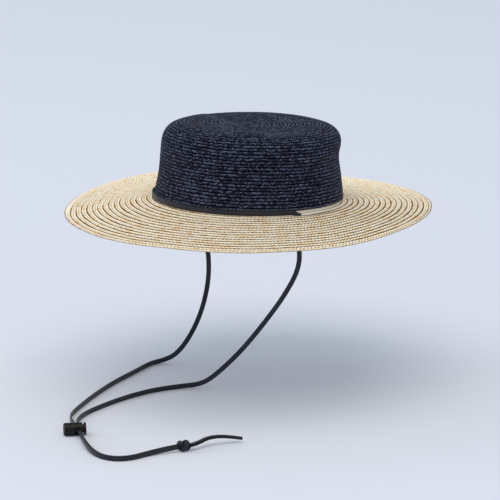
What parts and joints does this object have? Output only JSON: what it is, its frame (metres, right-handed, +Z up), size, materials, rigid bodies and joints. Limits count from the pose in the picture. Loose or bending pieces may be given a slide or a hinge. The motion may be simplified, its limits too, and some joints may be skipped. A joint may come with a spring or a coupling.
{
  "type": "straw sun hat",
  "caption": "Braided straw sun hat with a dark flat-topped crown, a wide natural brim and a flat leather chin lace with a sprung cord lock and knot.",
  "frame": {"origin": "centre of the head opening, where the brim's inner edge meets the crown", "axes": "+Z up; -Y towards the front of the hat, +Y towards the back; +X towards the wearer's left side"},
  "size_m": [0.3514, 0.4647, 0.2851],
  "materials": {
    "black_braid": "matte plaited braid",
    "natural_braid": "matte plaited wheat straw",
    "grosgrain": "ribbed ribbon",
    "black_thread": "matte thread",
    "black_leather": "smooth satin leather",
    "black_plastic": "fine moulded matte",
    "spring_steel": "drawn wire"
  },
  "bodies": {
    "hat": {"crown": "black_braid", "brim": "natural_braid", "sweatband": "grosgrain", "sweatband_join_tape": "grosgrain", "crown_stitches": "black_thread", "sweatband_stitches": "black_thread", "lace_round_crown": "black_leather", "lace_right_strand": "black_leather", "lace_left_strand": "black_leather", "lace_right_tail": "black_leather", "lace_left_tail": "black_leather", "lace_end_knot": "black_leather"},
    "cord_lock": {"cord_lock_barrel": "black_plastic", "cord_lock_spring": "spring_steel"},
    "lock_plunger": {"cord_lock_plunger": "black_plastic"}
  },
  "joints": [
    {"name": "cord_lock_slide", "type": "slide", "parent": "hat", "child": "cord_lock", "axis": [0.8988, -0.4384, 0], "range_m": [0, 0.025]},
    {"name": "plunger_press", "type": "slide", "parent": "cord_lock", "child": "lock_plunger", "axis": [-0.4384, -0.8988, 0], "range_m": [0, 0.0021], "stiffness_N_per_m": 900, "springref_m": -0.002, "deforming": ["cord_lock_spring"]}
  ]
}
